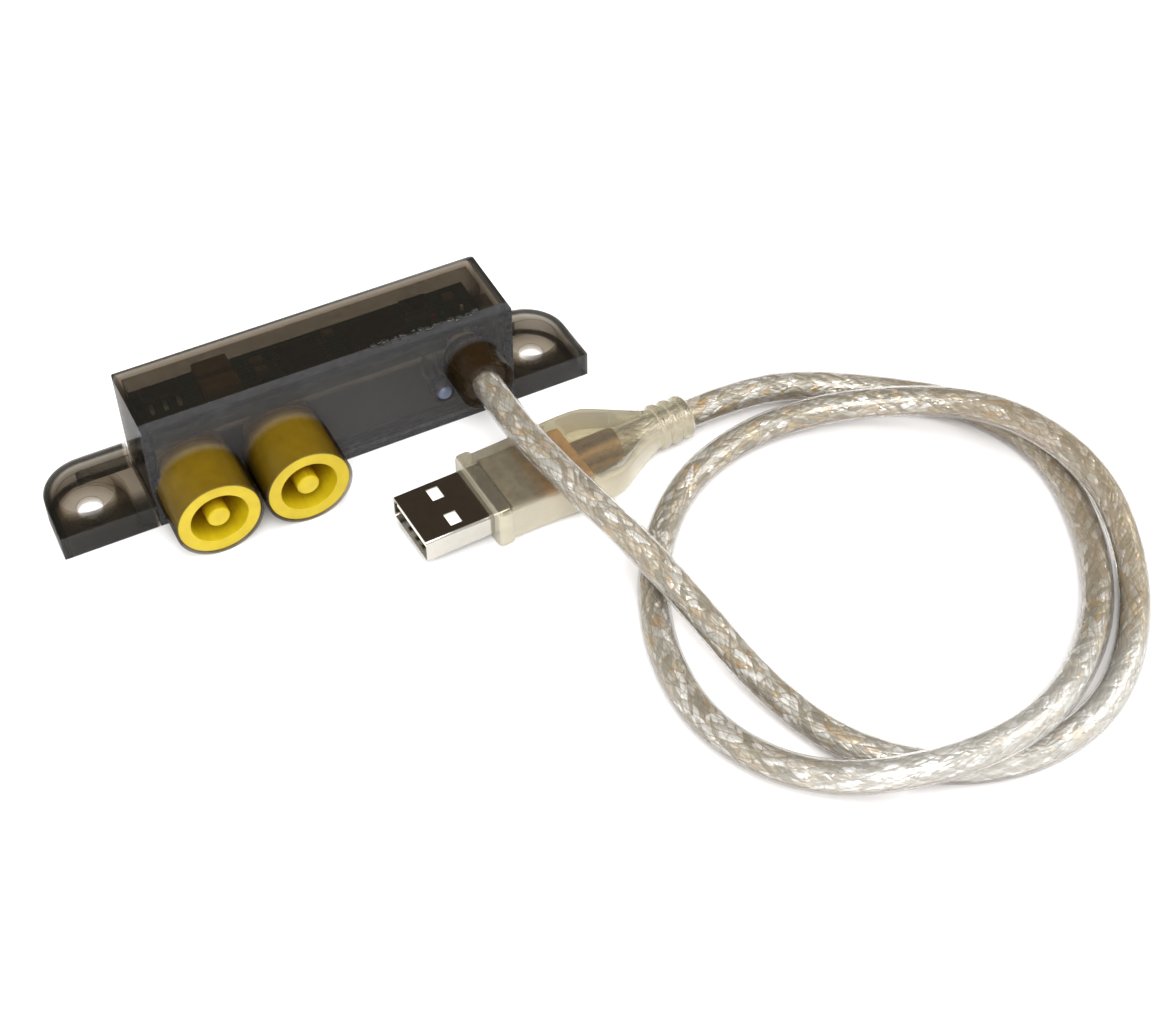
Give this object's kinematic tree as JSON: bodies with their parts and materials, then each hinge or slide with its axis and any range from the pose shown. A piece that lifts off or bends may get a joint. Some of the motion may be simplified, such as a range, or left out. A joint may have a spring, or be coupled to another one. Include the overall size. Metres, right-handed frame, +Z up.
{
  "type": "usb microcontroller programmer",
  "caption": "Small smoke-clear programmer box with screw ears and round yellow contact sockets, on a short clear-jacketed USB lead that ends in a type A plug.",
  "frame": {"origin": "middle of the housing's footprint, on the surface it stands on, midway between the ends of its screw ears", "axes": "+X along the housing from the socket end to the cable end, -Y out of the sockets and the cable boss, +Z up"},
  "size_m": [0.1553, 0.1233, 0.021],
  "materials": {
    "smoke_plastic": "smoke-clear polycarbonate, glossy, lightly scuffed",
    "yellow_plastic": "moulded yellow plastic, satin",
    "amber_plastic": "amber-clear elastomer",
    "spring_metal": "bare spring brass",
    "plated_metal": "bright nickel plating",
    "tinned_metal": "tinned copper",
    "gold_contact": "gold flash",
    "board_laminate": "solder-masked laminate",
    "chip_epoxy": "matte black epoxy",
    "tantalum_yellow": "moulded yellow resin",
    "ceramic_tan": "fired ceramic with tinned ends",
    "resistor_black": "glazed film with tinned ends",
    "led_lens": "clear epoxy lens",
    "nylon_tie": "natural nylon",
    "wire_red": "PVC insulation",
    "wire_green": "PVC insulation",
    "wire_black": "PVC insulation",
    "wire_white": "PVC insulation",
    "clear_jacket": "clear PVC over silver braid",
    "clear_grip": "clear moulded PVC, faintly yellow",
    "white_insulator": "white glass-filled plastic",
    "tan_mould": "tan inner mould",
    "crimp_metal": "crimped tinned steel"
  },
  "bodies": {
    "housing": {"rear_housing": "smoke_plastic", "front_panel": "smoke_plastic", "left_socket": "yellow_plastic", "right_socket": "yellow_plastic", "left_contact_terminal": "spring_metal", "right_contact_terminal": "spring_metal", "left_ring_contact": "plated_metal", "right_ring_contact": "plated_metal", "circuit_board": "board_laminate", "microcontroller": "chip_epoxy", "microcontroller_leads": "tinned_metal", "usb_interface_chip": "chip_epoxy", "usb_interface_chip_leads": "tinned_metal", "voltage_regulator": "chip_epoxy", "voltage_regulator_leads": "tinned_metal", "crystal": "plated_metal", "tantalum_capacitors": "tantalum_yellow", "ceramic_capacitors": "ceramic_tan", "resistors": "resistor_black", "status_led": "led_lens", "status_led_leads": "tinned_metal", "cable_bush": "amber_plastic", "cable_tie": "nylon_tie", "cable_tail": "clear_jacket", "red_wire": "wire_red", "green_wire": "wire_green", "black_wire": "wire_black", "white_wire": "wire_white", "usb_cable": "clear_jacket", "cable_head": "clear_jacket", "plug_grip": "clear_grip", "plug_shell": "plated_metal", "plug_insulator": "white_insulator", "plug_contacts": "gold_contact", "plug_inner_mould": "tan_mould", "plug_crimp": "crimp_metal"},
    "left_leaf": {"left_contact_leaf": "spring_metal"},
    "right_leaf": {"right_contact_leaf": "spring_metal"}
  },
  "joints": [
    {"name": "left_leaf_flex", "type": "hinge", "parent": "housing", "child": "left_leaf", "pos_m": [-0.0236, -0.0009, 0.01307], "axis": [-1, 0, 0], "range_deg": [0, 3.5], "stiffness_Nm_per_rad": 0.02},
    {"name": "right_leaf_flex", "type": "hinge", "parent": "housing", "child": "right_leaf", "pos_m": [-0.00836, -0.0009, 0.01307], "axis": [-1, 0, 0], "range_deg": [0, 3.5], "stiffness_Nm_per_rad": 0.02}
  ]
}
